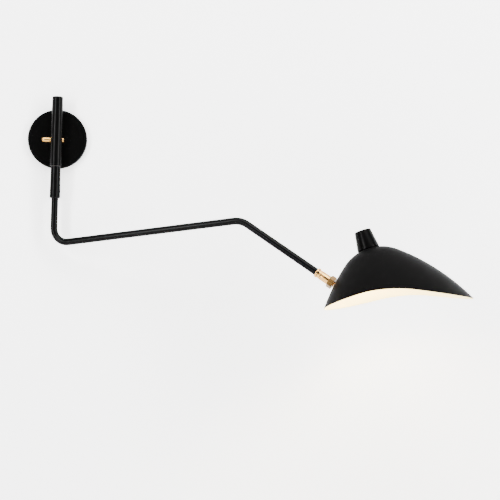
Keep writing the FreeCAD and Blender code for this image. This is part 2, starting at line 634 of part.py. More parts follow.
def make_shade_shell():
    """A spun dome whose rim is cut flat behind and slants away under the long front lip."""
    out_crown, out_flank, out_knee, out_edge, out_at = dome_outline("0")
    in_crown, in_flank, in_knee, in_edge, in_at = dome_outline("shade_wall")
    body = new_body("ShadeShell")
    sketch = new_sketch(body, "ShadeSection")
    closed_outline(sketch, [
        out_edge + (out_flank,), out_knee + (out_crown,), ("shade_hole", out_at("shade_hole")),
        ("shade_hole", in_at("shade_hole"), "-(%s)" % in_crown), in_knee + ("-(%s)" % in_flank,), in_edge])
    turn = body.newObject("PartDesign::Revolution", "ShadeTurn")
    turn.Profile = sketch
    turn.ReferenceAxis = (sketch, ["V_Axis"])
    rim = new_sketch(body, "RimCut")
    bend_end = "rim_bend_start + rim_bend * (sin(rim_slant) - sin(rim_back_slope))"
    bend_drop = "-rim_start_depth - rim_bend * (cos(rim_back_slope) - cos(rim_slant))"
    far = "flank_depth + 40"
    closed_outline(rim, [
        ("-(%s)" % far, "(%s + rim_bend_start) * tan(rim_back_slope) - rim_start_depth" % far),
        ("-(%s)" % far, "-2 * (%s)" % far), (far, "-2 * (%s)" % far),
        (far, "%s - (%s - (%s)) * tan(rim_slant)" % (bend_drop, far, bend_end)),
        (bend_end, bend_drop, "rim_bend"), ("rim_bend_start", "-rim_start_depth")])
    cut = body.newObject("PartDesign::Pocket", "RimPocket")
    cut.Profile = rim
    cut.Type = 0
    cut.Midplane = True
    cut.setExpression("Length", formula("4 * flank_depth"))
    neck_hole = rod("NeckHole", "neck_radius + 0.1", LONG, NECK_IN_SHADE)
    return keep(without("Shade", body, [neck_hole], SHADE), "shade_shell")


def make_neck_washers():
    """Washers shaped to the dome, outside and inside, so the flat flange and nut can turn on them."""
    outer = ring("OuterWasherBlank", "neck_radius + 0.1", "6.5", "ball_station + 7.43", "ball_station + 12",
                 NECK_IN_SHADE)
    keep(without("OuterNeckWasher", outer, [dome_solid("DomeOutside", "-0.01")], SHADE), "outer_neck_washer")
    inner = ring("InnerWasherBlank", "neck_radius + 0.1", "8.0", "ball_station + 6", "ball_station + 13.97",
                 NECK_IN_SHADE)
    keep(shared("InnerNeckWasher", inner, dome_solid("DomeInside", "shade_wall + 0.01"), SHADE),
         "inner_neck_washer")


def make_lamp_cap():
    """The cone on the dome. Its spigot goes through the dome to a ring nut inside the shade."""
    spigot, bore = "shade_hole - 0.2", "shade_hole - 1.3"
    seat = "sqrt(crown_radius^2 - 19.2^2) - crown_radius + 0.02"
    roof = "cap_height - 1.5"
    top_inside = "cap_top_radius - cap_wall"
    shell = turned("LampCapBlank", [
        (bore, "-8"), (spigot, "-8"), (spigot, "sqrt(crown_radius^2 - (%s)^2) - crown_radius + 0.02" % spigot),
        ("19.2", seat), ("cap_lip_radius", "-1.1"), ("cap_lip_radius", "-0.2"),
        ("cap_lip_radius - 0.5", "0.2"), ("cap_top_radius", "cap_height - 0.6"),
        ("cap_top_radius - 0.6", "cap_height"), ("3.7", "cap_height"), ("2.1", "cap_height - 1.5"),
        (top_inside, roof), ("cap_lip_radius - 3.2", "2"), (bore, "0")])
    shell.Placement = SHADE
    keep(shell, "lamp_cap")
    keep(ring("CapRing", "shade_hole - 0.18", "22", "-8", "-4.6", SHADE), "cap_ring_nut")
    keep(turned("CapScrew", [
        ("0", "cap_height - 9"), ("1.95", "cap_height - 9"), ("1.95", "cap_height - 1.6"),
        ("3.6", "cap_height - 0.05"), ("1.2", "cap_height - 0.05"), ("1.2", "cap_height - 1.2"),
        ("0", "cap_height - 1.2")], SHADE), "cap_screw")


def make_lampholder():
    """The candle-size lampholder that hangs from the cap, with its screw shell and contact."""
    roof = "cap_height - 1.6"
    keep(turned("Lampholder", [
        ("2.0", roof), ("8", roof), ("8", "21"), ("holder_radius", "19"), ("holder_radius", "-6"),
        ("8.2", "-6"), ("8.2", "18"), ("3", "18"), ("3", "24"), ("2.0", "26")], SHADE), "lampholder")
    keep(ring("ThreadShell", "screw_cap_radius + 0.3", "screw_cap_radius + 0.9", "-4", "16", SHADE),
         "holder_screw_shell")
    keep(turned("HolderContact", [
        ("0", "17.2"), ("2.6", "17.2"), ("2.6", "22"), ("0", "22")], SHADE), "holder_contact")


def make_bulb():
    """A small round bulb: opal globe, plastic collar, screw cap and end contact."""
    middle = "-36.5"
    neck = "9.4"
    drop = "sqrt(globe_radius^2 - 9.4^2)"
    wall = "globe_radius - 0.8"
    inner_drop = "sqrt((%s)^2 - 8.6^2)" % wall
    keep(turned("BulbGlobe", [
        ("0", "%s - globe_radius" % middle, "globe_radius"), ("globe_radius", middle, "globe_radius"),
        (neck, "%s + %s" % (middle, drop)), ("8.6", "%s + %s" % (middle, inner_drop), "-(%s)" % wall),
        (wall, middle, "-(%s)" % wall), ("0", "%s - (%s)" % (middle, wall))], SHADE), "bulb_globe")
    keep(turned("BulbCollar", [
        ("0", "-14.6"), ("8.5", "-14.6"), ("9.4", "%s + %s + 0.05" % (middle, drop)), ("10.2", "-15.4"),
        ("10.2", "-13"), ("screw_cap_radius + 0.2", "-6.4"), ("5.6", "-6.4"), ("5.6", "10"), ("0", "10")],
        SHADE), "bulb_collar")
    keep(ring("LedBoard", "0.8", "7.8", "-16.0", "-14.7", SHADE), "led_board")
    keep(ring("BulbScrewCap", "5.65", "screw_cap_radius", "-6.3", "14", SHADE), "bulb_screw_cap")
    keep(turned("BulbContact", [
        ("0", "10.1"), ("4.0", "10.1"), ("4.0", "14"), ("2.4", "16.9"), ("0", "16.9")], SHADE),
        "bulb_end_contact")


def make_lamp_lead():
    """The lead from the neck, up along the dome's inside and through the cap to the lampholder."""
    start = NECK_IN_SHADE.multVec(Vector(0, 0, size("ball_station + 21")))
    onward = NECK_IN_SHADE.multVec(Vector(0, 0, size("ball_station + 29")))
    corners = [(start.x, start.z), (onward.x, onward.z), (onward.x + 9, onward.z + 1.5),
               (-50, -23.5), (-14.2, -11), (-14.2, 8), (-13.8, 20), (-9.7, 27)]
    points = [Vector(x, 0, z) for x, z in corners]
    radius = size("cable_radius - 0.15")
    bend = 4.2
    edges, last = [], points[0]
    for before, corner, after in zip(points, points[1:], points[2:]):
        come = (corner - before).normalize()
        leave = (after - corner).normalize()
        reach = bend * math.tan(come.getAngle(leave) / 2)
        entry, exit_point = corner - come * reach, corner + leave * reach
        side = (leave - come).normalize()
        centre_distance = math.hypot(bend, reach)
        middle = corner + side * (centre_distance - bend)
        edges.append(Part.LineSegment(last, entry).toShape())
        edges.append(Part.Arc(entry, middle, exit_point).toShape())
        last = exit_point
    edges.append(Part.LineSegment(last, points[-1]).toShape())
    path = Part.Wire(edges)
    section = Part.Wire(Part.makeCircle(radius, points[0], points[1] - points[0]))
    lead = doc.addObject("Part::Feature", "LampLead")
    lead.Shape = path.makePipeShell([section], True, False)
    lead.Placement = SHADE
    expected = math.pi * radius ** 2 * path.Length
    assert abs(lead.Shape.Volume - expected) < 0.01 * expected
    keep(lead, "lamp_lead")


NECK_IN_SHADE = SHADE_IN_ARM.inverse() * JOINT_IN_ARM


def main():
    make_wall_plate()
    make_mounting_strap()
    make_bracket_screws()
    make_terminal_block()
    make_post()
    make_post_fixings()
    make_feed_cable()
    make_switch()
    make_swing_bearing()
    make_sleeve()
    make_arm_tube()
    make_collar()
    make_swivel_housing()
    make_hex_nut()
    make_swivel_ball()
    make_shade_shell()
    make_neck_washers()
    make_lamp_cap()
    make_lampholder()
    make_bulb()
    make_lamp_lead()
    doc.recompute()

    faults = ["%s: %s" % (thing.Label, thing.State) for thing in doc.Objects
              if "Invalid" in thing.State or "Error" in thing.State]
    for thing in nodes:
        if thing.Shape.isNull() or not thing.Shape.isValid() or thing.Shape.Volume <= 0:
            faults.append("%s: bad shape" % thing.Label)
    if faults:
        sys.exit("Not written:\n" + "\n".join(faults))

    os.makedirs("parts", exist_ok=True)
    for thing in nodes:
        thing.Shape.exportStep(os.path.join("parts", thing.Label + ".step"))
        print("%-22s solids %2d  volume %10.1f" % (thing.Label, len(thing.Shape.Solids), thing.Shape.Volume))
    print(len(nodes), "nodes")


main()
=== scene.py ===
# %% [markdown]
# # A swing arm wall light
# A round plate on the wall carries an upright post. A thin bent arm turns under the post, and a
# brass ball swivel at its end holds a long-lipped spun shade. The engineering model gives every
# moving piece its place. This notebook gives the pieces their finished surfaces, one at a time.

# %% Frame
import json
import math

import bpy
import numpy as np
from mathutils import Matrix


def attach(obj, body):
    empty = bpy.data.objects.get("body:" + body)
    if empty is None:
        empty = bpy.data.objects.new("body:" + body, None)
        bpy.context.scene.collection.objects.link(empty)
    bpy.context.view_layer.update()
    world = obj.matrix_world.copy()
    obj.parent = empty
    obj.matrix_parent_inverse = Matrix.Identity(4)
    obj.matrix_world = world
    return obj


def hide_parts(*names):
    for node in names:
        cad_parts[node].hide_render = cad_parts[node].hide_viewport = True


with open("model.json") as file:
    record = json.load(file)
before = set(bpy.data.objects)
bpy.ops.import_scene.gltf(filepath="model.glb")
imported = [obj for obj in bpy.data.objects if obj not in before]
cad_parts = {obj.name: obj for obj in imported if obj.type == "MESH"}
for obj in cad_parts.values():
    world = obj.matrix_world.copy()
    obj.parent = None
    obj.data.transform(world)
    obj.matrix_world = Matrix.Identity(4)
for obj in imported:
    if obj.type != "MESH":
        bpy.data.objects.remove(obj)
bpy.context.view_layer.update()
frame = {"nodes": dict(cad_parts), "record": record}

# %% [markdown]
# ## Working frames
# The arm lies in one upright plane that points out from the wall. The last run of its tube, the
# shade and the post each have an axis of their own, and most of their pieces were turned, bent or
# spun about it. So each group gets a frame with that axis as Z, and the pieces are drawn there.

# %% Placing a piece in the row's frame
MM = 0.001
SWING = math.radians(20.8)
LEAN = math.radians(20.5)
ROLL = math.radians(-4.6)
POST_OUT = 26.0
SWITCH_LEVEL = -3.0
CREST = (398.0, -160.0)
TUBE_END = (553.05, -257.21)
LAST_RUN, LAST_DROP = 155.05, 97.21
FALL = math.atan2(LAST_DROP, LAST_RUN)
APEX = (647.0, -208.6)
BALL = 31.8


def shift(x, y, z):
    """A move by x, y and z millimetres."""
    return Matrix.Translation((x * MM, y * MM, z * MM))


def turn(angle, axis):
    """A turn by an angle in radians about one of the frame's own axes."""
    return Matrix.Rotation(angle, 4, axis)


POST = shift(0, -POST_OUT, 0)
ARM = POST @ turn(-SWING, "Z")
JOINT_IN_ARM = shift(TUBE_END[0], 0, TUBE_END[1]) @ turn(math.pi / 2 + FALL, "Y")
JOINT = ARM @ JOINT_IN_ARM
ROLLED = JOINT_IN_ARM @ turn(ROLL, "Z") @ JOINT_IN_ARM.inverted()
SHADE_IN_ARM = shift(APEX[0], 0, APEX[1]) @ turn(-LEAN, "Y")
SHADE = ARM @ ROLLED @ SHADE_IN_ARM
ACROSS = POST @ shift(0, 0, SWITCH_LEVEL) @ turn(math.pi / 2, "Y")
NECK_IN_SHADE = SHADE_IN_ARM.inverted() @ JOINT_IN_ARM
print("tube end in the row's frame:", [round(v, 4) for v in JOINT.translation])

# %% [markdown]
# ## Surfaces from arrays
# Turned, bent and spun pieces all come from a profile that is carried round or along something.
# A profile can be held as an array of points, and numpy then makes every vertex of the piece at
# once. This keeps the curves true, with as many steps as the light needs to run smoothly over them.

# %% Profiles, grids and turned pieces


def rounded(corners, steps=7):
    """A profile with soft corners. Each corner is radius, height and, if it is rounded, a fillet.

    The fillet's arc touches both edges at the same distance from the corner, which is the fillet
    radius times the tangent of half of the turn there."""
    corners = [tuple(c) + (0.0,) * (3 - len(c)) for c in corners]
    points = []
    for before, here, after in zip(corners[-1:] + corners[:-1], corners, corners[1:] + corners[:1]):
        corner = np.array(here[:2], float)
        if here[2] == 0:
            points.append(corner)
            continue
        come = corner - np.array(before[:2], float)
        leave = np.array(after[:2], float) - corner
        come /= np.hypot(*come)
        leave /= np.hypot(*leave)
        half = math.acos(float(np.clip(come @ leave, -1, 1))) / 2
        reach = here[2] * math.tan(half)
        side = (leave - come) / np.hypot(*(leave - come))
        middle = corner + side * math.hypot(here[2], reach)
        start = corner - come * reach - middle
        end = corner + leave * reach - middle
        for part in np.linspace(0, 1, steps):
            way = start * math.sin((1 - part) * 2 * half) + end * math.sin(part * 2 * half)
            points.append(middle + way / math.sin(2 * half))
    return np.array(points)


def mesh_from_grid(name, grid, place, drop=None, values=None):
    """An object from a grid of points in millimetres: rows run along it and columns round it.

    Point number = row x columns + column. Each face joins a point, its neighbour in the row and the
    same two in the next row, and the last row and column close on the first. place carries the points
    into the row's frame, drop says which faces to leave out, and values are stored on the points."""
    rows, columns = grid.shape[:2]
    matrix = np.array(place)
    points = grid.reshape(-1, 3) * MM @ matrix[:3, :3].T + matrix[:3, 3]
    row = np.arange(rows)[:, None]
    column = np.arange(columns)[None, :]
    next_row, next_column = (row + 1) % rows, (column + 1) % columns
    quads = np.stack([row * columns + column, row * columns + next_column,
                      next_row * columns + next_column, next_row * columns + column], -1).reshape(-1, 4)
    if drop is not None:
        quads = quads[~drop(grid.reshape(-1, 3)[quads].mean(axis=1))]
    mesh = bpy.data.meshes.new(name)
    mesh.vertices.add(len(points))
    mesh.vertices.foreach_set("co", points.ravel())
    mesh.loops.add(quads.size)
    mesh.loops.foreach_set("vertex_index", quads.ravel())
    mesh.polygons.add(len(quads))
    mesh.polygons.foreach_set("loop_start", np.arange(len(quads)) * 4)
    mesh.update(calc_edges=True)
    mesh.validate()
    mesh.shade_smooth()
    for attribute, numbers in (values or {}).items():
        mesh.attributes.new(attribute, "FLOAT", "POINT").data.foreach_set("value", numbers.ravel())
    thing = bpy.data.objects.new(name, mesh)
    bpy.context.collection.objects.link(thing)
    return thing


def spun(name, profile, place, columns=128, sharp=35):
    """A solid of revolution: the profile's radius is carried round Z, its height stays."""
    angle = np.linspace(0, 2 * np.pi, columns, endpoint=False)[None, :]
    radius, height = profile[:, :1], profile[:, 1:2]
    grid = np.stack([radius * np.cos(angle), radius * np.sin(angle), height + 0 * angle], -1)
    thing = mesh_from_grid(name, grid, place)
    thing.data.set_sharp_from_angle(angle=math.radians(sharp))
    return thing


# %% [markdown]
# ## Joining the lamp
# A finished piece rides on the body that moves it and stands for one or more nodes of the
# engineering model. Doing all of that in one helper keeps a piece from missing a step.

# %% Fitting a piece


def fit(thing, body, slot, *nodes):
    """Lets a piece ride on its body, take its slot's finish and stand for the nodes it replaces."""
    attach(thing, body)
    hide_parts(*nodes)
    thing.data.materials.append(finishes[slot])
    print("%-14s %6d faces, on %s, for %s" % (thing.name, len(thing.data.polygons), body, ", ".join(nodes)))


# %% [markdown]
# ## Finishes
# Powder coat is a melted plastic skin, so it has a faint orange-peel texture that breaks up its
# reflections. Turned brass keeps very fine rings from the tool, which stretch its highlights across
# the axis. Both effects are small height changes, so they go in as bump and not as painted tone.

# %% Material helpers


def new_material(name, colour, roughness, metallic=0.0, shine=0.5):
    """A material with one plain shader, and its nodes, links and shader for more work."""
    material = bpy.data.materials.new(name)
    material.use_nodes = True
    shader = material.node_tree.nodes["Principled BSDF"]
    shader.inputs["Base Color"].default_value = (*colour, 1)
    shader.inputs["Roughness"].default_value = roughness
    shader.inputs["Metallic"].default_value = metallic
    shader.inputs["Specular IOR Level"].default_value = shine
    material.diffuse_color = (*colour, 1)
    return material, material.node_tree.nodes, material.node_tree.links, shader


def add_grain(nodes, links, shader, vector, scale, depth, spread, roughness, dimensions="3D"):
    """Bump of a given depth in metres, and roughness that wanders by a given spread."""
    noise = nodes.new("ShaderNodeTexNoise")
    noise.noise_dimensions = dimensions
    noise.inputs["Scale"].default_value = scale
    noise.inputs["Detail"].default_value = 3
    links.new(vector, noise.inputs["W" if dimensions == "1D" else "Vector"])
    bump = nodes.new("ShaderNodeBump")
    bump.inputs["Distance"].default_value = depth
    links.new(noise.outputs["Fac"], bump.inputs["Height"])
    links.new(bump.outputs["Normal"], shader.inputs["Normal"])
    wander = nodes.new("ShaderNodeMapRange")
    wander.inputs["To Min"].default_value = roughness - spread
    wander.inputs["To Max"].default_value = roughness + spread
    links.new(noise.outputs["Fac"], wander.inputs["Value"])
    links.new(wander.outputs["Result"], shader.inputs["Roughness"])


def coated(name, colour, roughness, depth=0.00002, scale=700, shine=0.5):
    """Paint or moulded plastic with a faint peel."""
    material, nodes, links, shader = new_material(name, colour, roughness, 0.0, shine)
    place = nodes.new("ShaderNodeTexCoord")
    add_grain(nodes, links, shader, place.outputs["Object"], scale, depth, 0.04, roughness)
    return material


def metal(name, colour, roughness, depth=0.00001, scale=1500):
    """Plated or sintered metal with an even, fine grain."""
    material, nodes, links, shader = new_material(name, colour, roughness, 1.0)
    place = nodes.new("ShaderNodeTexCoord")
    add_grain(nodes, links, shader, place.outputs["Object"], scale, depth, 0.05, roughness)
    return material


def turned_metal(name, colour, roughness, axis, depth=0.000012, scale=2600):
    """Metal with tool rings: the grain changes only with the distance along the turning axis."""
    material, nodes, links, shader = new_material(name, colour, roughness, 1.0)
    place = nodes.new("ShaderNodeTexCoord")
    along = nodes.new("ShaderNodeVectorMath")
    along.operation = "DOT_PRODUCT"
    along.inputs[1].default_value = tuple(axis)
    links.new(place.outputs["Object"], along.inputs[0])
    add_grain(nodes, links, shader, along.outputs["Value"], scale, depth, 0.05, roughness, "1D")
    return material


# %% [markdown]
# Each material slot gets a finish, and the switch has a brass of its own. The bulb is the only piece
# of the lamp that shines. Its globe is opal, so the light leaves it evenly.

# %% The finishes
JOINT_AXIS = JOINT.to_3x3().col[2]
finishes = {
    "black_paint": coated("black powder coat", (0.001, 0.001, 0.001), 0.25, 0.000001, shine=0.036),
    "cap_paint": coated("black semi-gloss", (0.001, 0.001, 0.001), 0.24, 0.000001, 500, 0.022),
    "zinc_steel": metal("zinc plated steel", (0.62, 0.63, 0.64), 0.36),
    "spring_steel": metal("spring steel", (0.40, 0.41, 0.43), 0.28),
    "green_screw": metal("green earth screw", (0.10, 0.42, 0.17), 0.38),
    "polished_brass": turned_metal("polished brass", (0.50, 0.28, 0.085), 0.22, JOINT_AXIS),
    "aged_brass": metal("aged brass", (0.13, 0.072, 0.024), 0.27, 0.000004),
    "bronze_bush": metal("sintered bronze", (0.50, 0.32, 0.17), 0.48, 0.00002),
    "contact_brass": metal("contact brass", (0.75, 0.57, 0.29), 0.34),
    "nickel_cap": metal("nickel plate", (0.70, 0.69, 0.66), 0.26),
    "cable_sheath": coated("cable sheath", (0.82, 0.81, 0.78), 0.50),
    "nylon": coated("nylon", (0.80, 0.79, 0.74), 0.45),
    "dark_nylon": coated("dark nylon", (0.01, 0.01, 0.01), 0.5),
    "terminal_plastic": coated("terminal plastic", (0.80, 0.78, 0.72), 0.46),
    "switch_plastic": coated("switch plastic", (0.04, 0.04, 0.04), 0.45),
    "holder_plastic": coated("lampholder plastic", (0.80, 0.79, 0.75), 0.42),
    "white_ring": coated("white ring plastic", (0.86, 0.85, 0.82), 0.44),
    "bulb_plastic": coated("bulb collar plastic", (0.86, 0.86, 0.84), 0.35),
    "board_aluminium": metal("bare board", (0.80, 0.80, 0.80), 0.40),
}
finishes["switch_brass"] = turned_metal("polished switch brass", (0.42, 0.23, 0.06), 0.22, (1, 0, 0))

opal, _, _, opal_shader = new_material("opal globe", (0.95, 0.93, 0.88), 0.35)
opal_shader.inputs["Emission Color"].default_value = (1.0, 0.74, 0.30, 1)
opal_shader.inputs["Emission Strength"].default_value = 360.0
finishes["opal_globe"] = opal
print("finishes:", len(finishes))

# %% [markdown]
# The shade's sheet is painted black outside and white inside. The inner white is tinted warm yellow
# here, which is painted light: it stands in for the bulb's warm glow on the paint. Each point of the
# sheet carries a number that says which side it is on, and another that says how far it lies down the
# dome. The spinning tool went round the dome, so its faint rings follow that second number.

# %% The shade's two-sided paint


def two_sided_paint():
    """Black paint and white paint tinted with painted warm light, mixed by the number that says which side
    of the sheet a point is on.
    """
    material, nodes, links, outside = new_material(
        "two-sided shade paint", (0.0022, 0.0022, 0.0022), 0.42, 0.0, 0.003)
    inside = nodes.new("ShaderNodeBsdfPrincipled")
    # painted light: the white inner paint is tinted warm yellow to stand in for the bulb's warm light on it
    inside.inputs["Base Color"].default_value = (0.86, 0.76, 0.43, 1)
    inside.inputs["Roughness"].default_value = 0.55
    down = nodes.new("ShaderNodeAttribute")
    down.attribute_name = "down"
    add_grain(nodes, links, outside, down.outputs["Fac"], 0.9, 0.00001, 0.03, 0.40, "1D")
    side = nodes.new("ShaderNodeAttribute")
    side.attribute_name = "side"
    mix = nodes.new("ShaderNodeMixShader")
    links.new(side.outputs["Fac"], mix.inputs["Fac"])
    links.new(outside.outputs["BSDF"], mix.inputs[1])
    links.new(inside.outputs["BSDF"], mix.inputs[2])
    links.new(mix.outputs["Shader"], nodes["Material Output"].inputs["Surface"])
    return material


finishes["shade_paint"] = two_sided_paint()

# %% [markdown]
# ## Finishes on the engineering model
# Pieces that stay as they were modelled take the finish of their own material slot. The switch's
# brass pieces share one finish, because their tool rings all go round the switch's axis.

# %% Dressing the CAD nodes
slots = {part["node"]: part["material_slot"] for part in frame["record"]["subparts"]}
SWITCH_PIECES = ("switch_knob", "switch_shaft", "switch_bush", "switch_cap_nut")
for node, thing in frame["nodes"].items():
    thing.data.materials.clear()
    thing.data.materials.append(finishes["switch_brass" if node in SWITCH_PIECES else slots[node]])
print("dressed:", len(slots))

# %% [markdown]
# ## Post
# The post is a steel tube that narrows a little towards its top, where a plug with a rounded edge
# closes it. Tube and plug are painted together, so they make one skin. The wall plate stays as modelled.

# %% Post and its plug
post_outline = rounded([
    (9.6, -56.0), (11.8, -56.0, 0.3), (11.8, 25.0, 60.0), (10.72, 80.0), (10.68, 85.0, 2.3),
    (0.02, 85.0), (0.02, 80.0), (9.0, 80.0), (9.6, 25.0)], 12)
post = spun("post_skin", post_outline, POST, 160)
fit(post, "wall_bracket", "black_paint", "post_tube", "post_cap")

# %% [markdown]
# ## Arm tube
# One length of steel tube is bent twice on a roller former. A former keeps the tube round and its
# bends are true arcs, so the piece is a circle carried along two arcs and three straight runs.

# %% Carrying a circle along a path


def bent_path(corners, bends, step=2.0):
    """Points along straight runs with tangent arcs at the corners, in the XZ plane."""
    points = [np.array([corners[0]], float)]
    for before, corner, after, bend in zip(corners, corners[1:], corners[2:], bends):
        before, corner, after = (np.array(p, float) for p in (before, corner, after))
        come = (corner - before) / np.hypot(*(corner - before))
        leave = (after - corner) / np.hypot(*(after - corner))
        half = math.acos(float(come @ leave)) / 2
        reach = bend * math.tan(half)
        side = (leave - come) / np.hypot(*(leave - come))
        middle = corner + side * math.hypot(bend, reach)
        start, end = corner - come * reach - middle, corner + leave * reach - middle
        part = np.linspace(0, 1, max(8, int(bend * 2 * half / step) * 3))[:, None]
        arc = (start * np.sin((1 - part) * 2 * half) + end * np.sin(part * 2 * half)) / math.sin(2 * half)
        points.append(middle + arc)
    points.append(np.array([corners[-1]], float))
    return np.concatenate(points)


def swept(name, path, radii, place, columns=72):
    """A tube with walls: rings stand square to the path, outside first, then back along the bore."""
    along = np.gradient(path, axis=0)
    along /= np.hypot(along[:, 0], along[:, 1])[:, None]
    normal = np.stack([-along[:, 1], along[:, 0]], -1)
    angle = np.linspace(0, 2 * np.pi, columns, endpoint=False)[None, :]

    def skin(radius, centres, sides):
        in_plane = radius * np.cos(angle)
        x = centres[:, :1] + sides[:, :1] * in_plane
        z = centres[:, 1:] + sides[:, 1:] * in_plane
        y = 0 * centres[:, :1] + radius * np.sin(angle)
        return np.stack([x, y, z], -1)

    outside = skin(radii[0], path, normal)
    bore = skin(radii[1], path[::-1], normal[::-1])
    thing = mesh_from_grid(name, np.concatenate([outside, bore]), place)
    thing.data.set_sharp_from_angle(angle=math.radians(40))
    return thing


# %% Arm tube
TUBE_START, ELBOW, TUBE_SEAT = (0, -88.0), (0, -213.4), 5.4
ELBOW_BEND, CREST_BEND = 28.0, 42.0
TUBE_RADIUS, TUBE_BORE = 7.0, 6.0
last_way = np.array([math.cos(FALL), -math.sin(FALL)])
tube_corners = [TUBE_START, ELBOW, CREST, tuple(np.array(TUBE_END) + TUBE_SEAT * last_way)]
tube_path = bent_path(tube_corners, [ELBOW_BEND, CREST_BEND])
arm_tube = swept("arm_tube_skin", tube_path, (TUBE_RADIUS, TUBE_BORE), ARM)
fit(arm_tube, "arm", "black_paint", "arm_tube")

# %% [markdown]
# ## Brass swivel
# The flared collar and the barrel are turned from bar and polished. A polished edge is never sharp,
# and its small round is what draws the bright lines round the joint.

# %% Collar and barrel
collar_outline = rounded([
    (7.05, -2.5), (9.75, -2.5, 0.6), (9.75, 0.9, 0.5), (8.25, 2.4, 1.2), (8.25, 6.8, 1.0),
    (8.75, 8.2, 0.8), (8.75, 9.5, 0.2), (5.5, 9.5), (5.5, 17.0), (3.0, 17.0), (3.0, 5.5), (7.05, 5.5)])
collar = spun("brass_collar_skin", collar_outline, JOINT)
fit(collar, "arm", "polished_brass", "brass_collar")

barrel_outline = rounded([
    (5.56, 9.6), (8.75, 9.6, 0.4), (8.75, 25.9, 0.3), (8.35, 25.9), (8.35, 31.0), (7.3, 31.0),
    (7.3, 13.1), (5.56, 13.1)])
barrel = spun("barrel_skin", barrel_outline, JOINT)
fit(barrel, "swivel_housing", "polished_brass", "joint_barrel")

# %% [markdown]
# ## Switch knob and cap nut
# The knob is a plain brass rod with a domed end, and the nut on the far side is turned to match.

# %% Switch pieces
knob_outline = rounded([
    (1.55, -13.6), (4.9, -13.6, 0.5), (4.9, -29.6, 4.6), (0.02, -29.6), (0.02, -25.6), (1.55, -25.6)], 12)
knob = spun("knob_skin", knob_outline, ACROSS, 96)
fit(knob, "switch", "polished_brass", "switch_knob")
knob.data.materials[0] = finishes["switch_brass"]

cap_nut_outline = rounded([
    (0.02, 7.1), (2.5, 7.1), (2.5, 11.9), (4.9, 11.9, 0.3), (4.9, 14.8, 1.2), (0.02, 14.8)], 10)
cap_nut = spun("cap_nut_skin", cap_nut_outline, ACROSS, 96)
fit(cap_nut, "wall_bracket", "polished_brass", "switch_cap_nut")
cap_nut.data.materials[0] = finishes["switch_brass"]

# %% [markdown]
# ## Shade
# The dome is spun from one disc, so every level section of it is a circle about its own axis. The
# rim is then cut along a curve: nearly flat behind, bent, and slanting away under the long lip.
# Each column of the sheet therefore ends at its own depth. That depth is found by halving, for all
# columns at the same time. The edge is a half round, because a raw sheet edge is always dressed.

# %% Shade
WALL_THICK = 1.2
CROWN, FLANK, KNEE = 82.1, 390.2, math.radians(39.9)
CAP_HOLE, NECK_HOLE, NECK_REACH = 17.7, 5.0, 20
STEEPEST, HALVINGS = 1.15, 40
PAINT_CHANGE = 1.2


def dome(angle, inward):
    """Radius and height of the dome where its skin is turned by this angle from level.

    Up to the knee the point is the crown's centre plus its radius along the skin's normal, and
    beyond it the flank's centre plus the flank's radius along the normal. inward is the depth under
    the outer skin, and is taken off the radius."""
    flank = angle > KNEE
    middle_radius = np.where(flank, (CROWN - FLANK) * math.sin(KNEE), 0.0)
    middle_height = np.where(flank, (CROWN - FLANK) * math.cos(KNEE), 0.0) - CROWN
    size = np.where(flank, FLANK, CROWN) - inward
    return middle_radius + size * np.sin(angle), middle_height + size * np.cos(angle)


def rim_depth(x):
    """How deep the rim is below the top of the dome, at a distance x towards the lip."""
    back, slant, start, depth, bend = math.radians(2.3), math.radians(25.2), -31.9, 86.6, 274.6
    end = start + bend * (math.sin(slant) - math.sin(back))
    end_depth = depth + bend * (math.cos(back) - math.cos(slant))
    behind = depth + (x - start) * math.tan(back)
    from_centre = x - start + bend * math.sin(back)
    arc = depth + bend * math.cos(back) - np.sqrt(np.maximum(bend ** 2 - from_centre ** 2, 0))
    lip = end_depth + (x - end) * math.tan(slant)
    return np.where(x < start, behind, np.where(x < end, arc, lip))


def make_shade(columns=400, rows=72):
    """The sheet in four parts: outer skin, half-round rim, inner skin, and the edge of the top hole."""
    around = np.linspace(0, 2 * np.pi, columns, endpoint=False)
    top = math.asin(CAP_HOLE / CROWN)
    high, low = np.full(columns, top), np.full(columns, STEEPEST)
    for _ in range(HALVINGS):
        middle = (high + low) / 2
        radius, height = dome(middle, WALL_THICK / 2)
        above = -height < rim_depth(radius * np.cos(around))
        high, low = np.where(above, middle, high), np.where(above, low, middle)
    last = high - WALL_THICK / 2 / FLANK
    share = np.linspace(0, 1, rows)[:, None] ** 0.9
    angle = top + (last - top) * share
    edge = np.linspace(0, np.pi, 9)[1:-1, None]
    parts, sides = [], []
    for inward, order in ((0.0, 1), (None, 1), (WALL_THICK, -1), (WALL_THICK / 2, 0)):
        if inward is None:
            radius, height = dome(last + 0 * edge, WALL_THICK / 2)
            out = WALL_THICK / 2 * np.cos(edge)
            on = WALL_THICK / 2 * np.sin(edge)
            radius = radius + out * np.sin(last) + on * np.cos(last)
            height = height + out * np.cos(last) - on * np.sin(last)
            sides.append(np.repeat((edge > PAINT_CHANGE).astype(float), columns, axis=1))
        elif order == 0:
            radius, height = dome(np.full((1, columns), top), inward)
            sides.append(np.full((1, columns), 0.5))
        else:
            radius, height = dome(angle[::order], inward)
            sides.append(np.full(angle.shape, 0.0 if inward == 0 else 1.0))
        parts.append((radius, height))
    radius = np.concatenate([part[0] for part in parts])
    height = np.concatenate([part[1] for part in parts])
    grid = np.stack([radius * np.cos(around), radius * np.sin(around), height], -1)
    neck = np.array(NECK_IN_SHADE)
    point, way = neck[:3, 3] / MM, neck[:3, 2]

    def round_the_neck(centres):
        off = centres - point
        along = off @ way
        from_axis = np.linalg.norm(off - along[:, None] * way, axis=1)
        return (from_axis < NECK_HOLE) & (along < BALL + NECK_REACH)

    down = np.hypot(radius, height)
    return mesh_from_grid("shade_skin", grid, SHADE, drop=round_the_neck,
                          values={"side": np.concatenate(sides), "down": down})


shade = make_shade()
shade.data.set_sharp_from_angle(angle=math.radians(50))
fit(shade, "shade", "shade_paint", "shade_shell")

